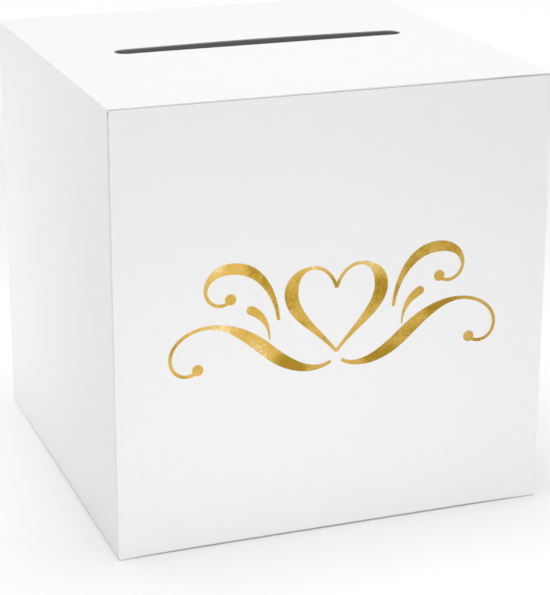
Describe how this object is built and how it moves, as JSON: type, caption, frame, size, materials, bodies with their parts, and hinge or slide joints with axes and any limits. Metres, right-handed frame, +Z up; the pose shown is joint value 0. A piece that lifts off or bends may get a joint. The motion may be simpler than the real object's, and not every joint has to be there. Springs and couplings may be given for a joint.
{
  "type": "wedding card box",
  "caption": "Cube folding carton in white board with a round-ended card slot in its top and a gold foil ornament on its front; both ends open on tuck closures.",
  "frame": {"origin": "centre of the carton's underside, on the table", "axes": "+Z up, -Y out of the front with the foil ornament, +X to the right seen from the front"},
  "size_m": [0.24, 0.2401, 0.24],
  "materials": {
    "white_board": "matte",
    "gold_foil": "satin",
    "adhesive": "satin"
  },
  "bodies": {
    "tube": {"base_panel": "white_board", "left_wall": "white_board", "top_panel": "white_board", "right_wall": "white_board", "glue_flap": "white_board", "seam_adhesive": "adhesive"},
    "front_closure": {"front_panel": "white_board", "foil_scrolls": "gold_foil", "foil_heart": "gold_foil"},
    "front_tongue": {"front_tuck_tongue": "white_board"},
    "front_left_flap": {"front_left_dust_flap": "white_board"},
    "front_right_flap": {"front_right_dust_flap": "white_board"},
    "back_closure": {"back_panel": "white_board"},
    "back_tongue": {"back_tuck_tongue": "white_board"},
    "back_left_flap": {"back_left_dust_flap": "white_board"},
    "back_right_flap": {"back_right_dust_flap": "white_board"}
  },
  "joints": [
    {"name": "front_open", "type": "hinge", "parent": "tube", "child": "front_closure", "pos_m": [0, -0.1197, 0.0003], "axis": [1, 0, 0], "range_deg": [0, 90]},
    {"name": "front_tongue_fold", "type": "hinge", "parent": "front_closure", "child": "front_tongue", "pos_m": [0, -0.1197, 0.2388], "axis": [1, 0, 0], "range_deg": [0, 45]},
    {"name": "front_left_flap_fold", "type": "hinge", "parent": "tube", "child": "front_left_flap", "pos_m": [-0.1197, -0.1188, 0.1183], "axis": [0, 0, -1], "range_deg": [0, 90]},
    {"name": "front_right_flap_fold", "type": "hinge", "parent": "tube", "child": "front_right_flap", "pos_m": [0.1197, -0.1188, 0.1183], "axis": [0, 0, 1], "range_deg": [0, 90]},
    {"name": "back_open", "type": "hinge", "parent": "tube", "child": "back_closure", "pos_m": [0, 0.1197, 0.0003], "axis": [-1, 0, 0], "range_deg": [0, 90]},
    {"name": "back_tongue_fold", "type": "hinge", "parent": "back_closure", "child": "back_tongue", "pos_m": [0, 0.1197, 0.2388], "axis": [-1, 0, 0], "range_deg": [0, 45]},
    {"name": "back_left_flap_fold", "type": "hinge", "parent": "tube", "child": "back_left_flap", "pos_m": [-0.1197, 0.1188, 0.1183], "axis": [0, 0, 1], "range_deg": [0, 90]},
    {"name": "back_right_flap_fold", "type": "hinge", "parent": "tube", "child": "back_right_flap", "pos_m": [0.1197, 0.1188, 0.1183], "axis": [0, 0, -1], "range_deg": [0, 90]}
  ],
  "couplings": [
    {"joint": "front_tongue_fold", "follows": "front_open", "ratio": 0.5},
    {"joint": "front_left_flap_fold", "follows": "front_open", "ratio": 1},
    {"joint": "front_right_flap_fold", "follows": "front_open", "ratio": 1},
    {"joint": "back_tongue_fold", "follows": "back_open", "ratio": 0.5},
    {"joint": "back_left_flap_fold", "follows": "back_open", "ratio": 1},
    {"joint": "back_right_flap_fold", "follows": "back_open", "ratio": 1}
  ]
}
